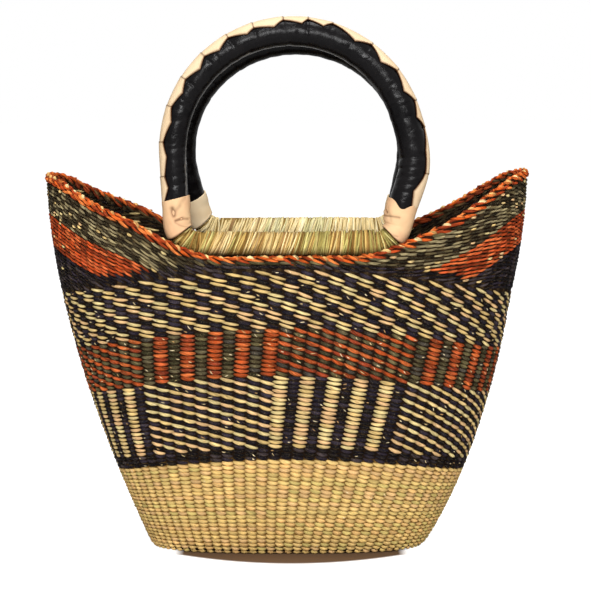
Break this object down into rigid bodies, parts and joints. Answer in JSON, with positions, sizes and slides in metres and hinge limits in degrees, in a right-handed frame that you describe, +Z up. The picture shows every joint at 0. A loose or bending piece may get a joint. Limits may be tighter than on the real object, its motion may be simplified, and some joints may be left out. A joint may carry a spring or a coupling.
{
  "type": "bolga basket",
  "caption": "Woven straw basket with upswept ends, coloured bands and leather-covered ring handles that tilt on bars lashed to the rim.",
  "frame": {"origin": "on the ground, under the middle of the basket", "axes": "+Z up, +X to the right of someone who faces the front, -Y towards them"},
  "size_m": [0.4617, 0.1788, 0.5123],
  "materials": {
    "natural_straw": "matt twisted grass, undyed, with greenish and reddish rows",
    "navy_straw": "matt twisted grass dyed a blue-black",
    "navy_and_tan_straw": "twisted grass, blue-black and undyed strands side by side",
    "rust_and_olive_straw": "twisted grass, rust and olive-brown strands side by side",
    "olive_straw": "matt twisted grass dyed a dark olive brown",
    "rust_straw": "matt twisted grass dyed rust orange",
    "yellow_green_straw": "fine split straw, yellow and pale green, wound close",
    "black_leather": "soft black goat leather with a low sheen and fine wrinkles",
    "tan_leather": "undyed matt goat leather",
    "grass_core": "bundle of dry grass stems, hidden"
  },
  "bodies": {
    "basket": {"base_weave": "natural_straw", "natural_band": "natural_straw", "lower_navy_band": "navy_straw", "block_band": "navy_and_tan_straw", "rust_olive_band": "rust_and_olive_straw", "check_band": "navy_and_tan_straw", "upper_rows": "olive_straw", "right_wing_olive": "olive_straw", "right_wing_rust": "rust_straw", "right_wing_navy": "navy_straw", "left_wing_olive": "olive_straw", "left_wing_rust": "rust_straw", "left_wing_navy": "navy_straw", "rim_braid": "rust_straw", "front_bar_lashing": "yellow_green_straw", "back_bar_lashing": "yellow_green_straw"},
    "front_handle": {"front_handle_core": "grass_core", "front_grip_leather": "black_leather", "front_ridge_lace": "tan_leather", "front_right_cuff": "tan_leather", "front_right_corner_whipping": "yellow_green_straw", "front_left_cuff": "tan_leather", "front_left_corner_whipping": "yellow_green_straw"},
    "back_handle": {"back_handle_core": "grass_core", "back_grip_leather": "black_leather", "back_ridge_lace": "tan_leather", "back_right_cuff": "tan_leather", "back_right_corner_whipping": "yellow_green_straw", "back_left_cuff": "tan_leather", "back_left_corner_whipping": "yellow_green_straw"}
  },
  "joints": [
    {"name": "front_handle_tilt", "type": "hinge", "parent": "basket", "child": "front_handle", "pos_m": [0, -0.071, 0.29891], "axis": [1, 0, 0], "range_deg": [-12, 19]},
    {"name": "back_handle_tilt", "type": "hinge", "parent": "basket", "child": "back_handle", "pos_m": [0, 0.071, 0.29891], "axis": [-1, 0, 0], "range_deg": [-4, 24]}
  ]
}
